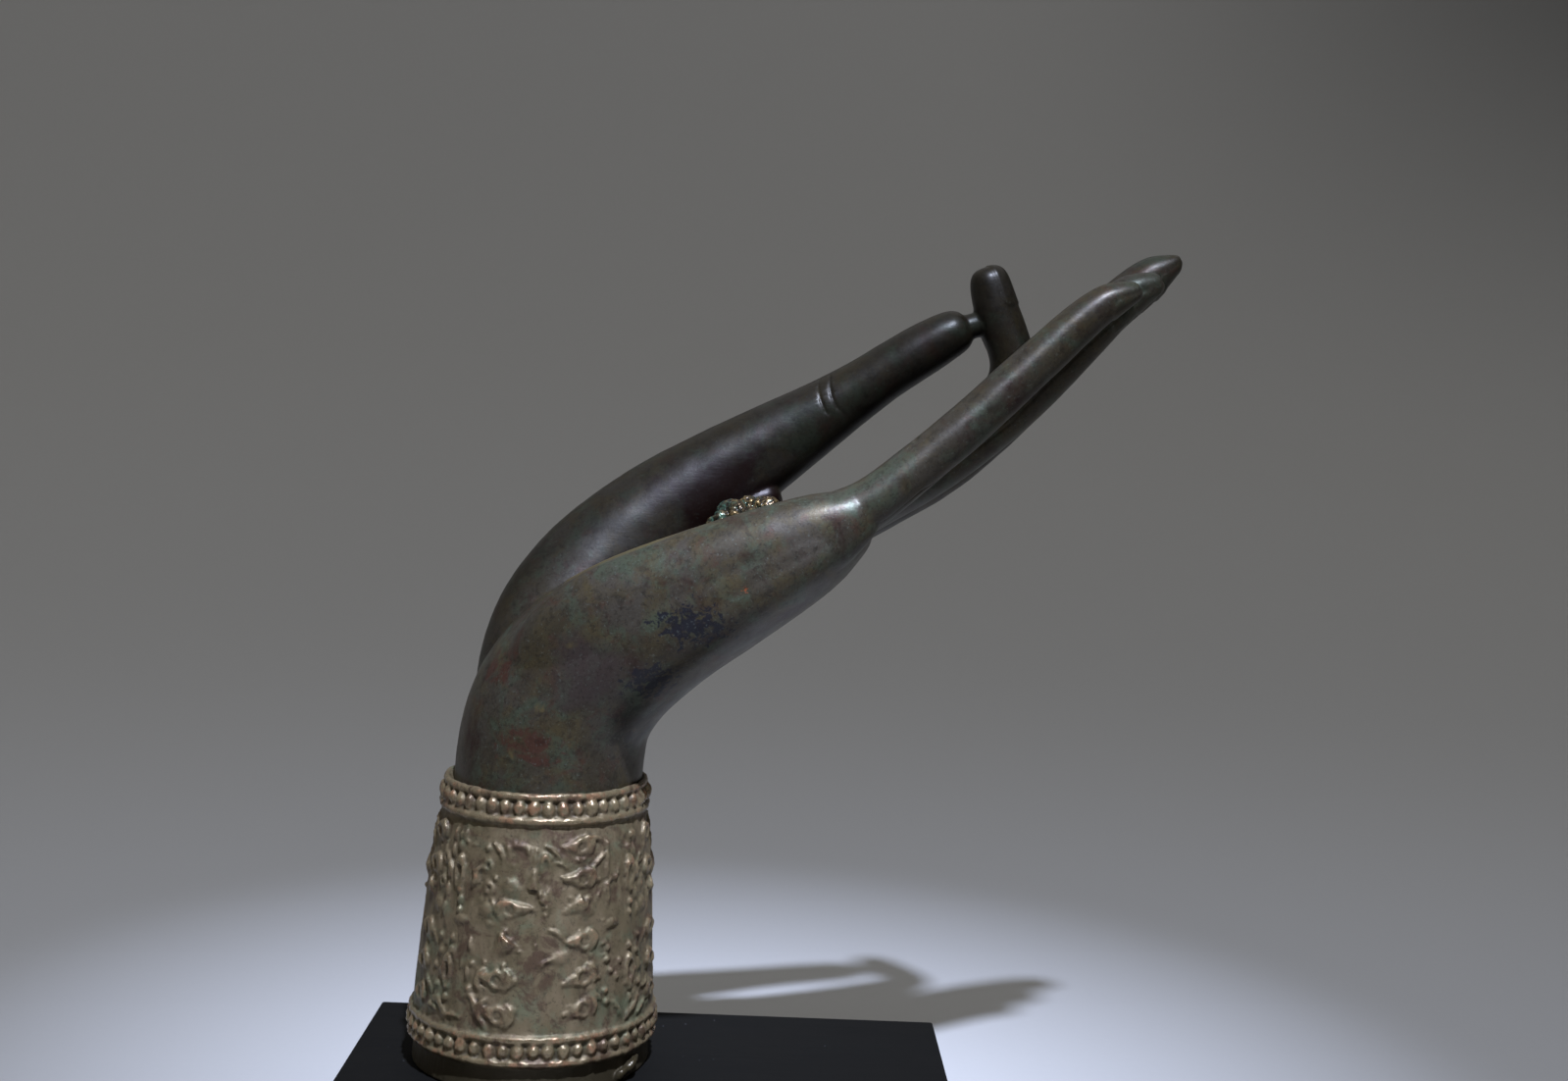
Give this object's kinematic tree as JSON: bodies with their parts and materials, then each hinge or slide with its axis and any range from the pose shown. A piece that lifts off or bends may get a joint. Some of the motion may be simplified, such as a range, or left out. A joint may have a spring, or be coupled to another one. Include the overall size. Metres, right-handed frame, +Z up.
{
  "type": "hand figurine",
  "caption": "Cast bronze left hand, thumb and index finger touching, rising from a relief cuff on a black wooden plinth.",
  "frame": {"origin": "centre of the plinth's flat underside", "axes": "+Z up, +X towards the fingertips, +Y towards the thumb side"},
  "size_m": [0.2576, 0.105, 0.2956],
  "materials": {
    "dark_bronze": "dark patinated bronze, satin",
    "black_wood": "matt black",
    "zinc_plated_steel": "zinc plated"
  },
  "bodies": {
    "root": {"hand_casting": "dark_bronze", "wooden_plinth": "black_wood", "mounting_screw": "zinc_plated_steel", "screw_washer": "zinc_plated_steel"}
  },
  "joints": []
}
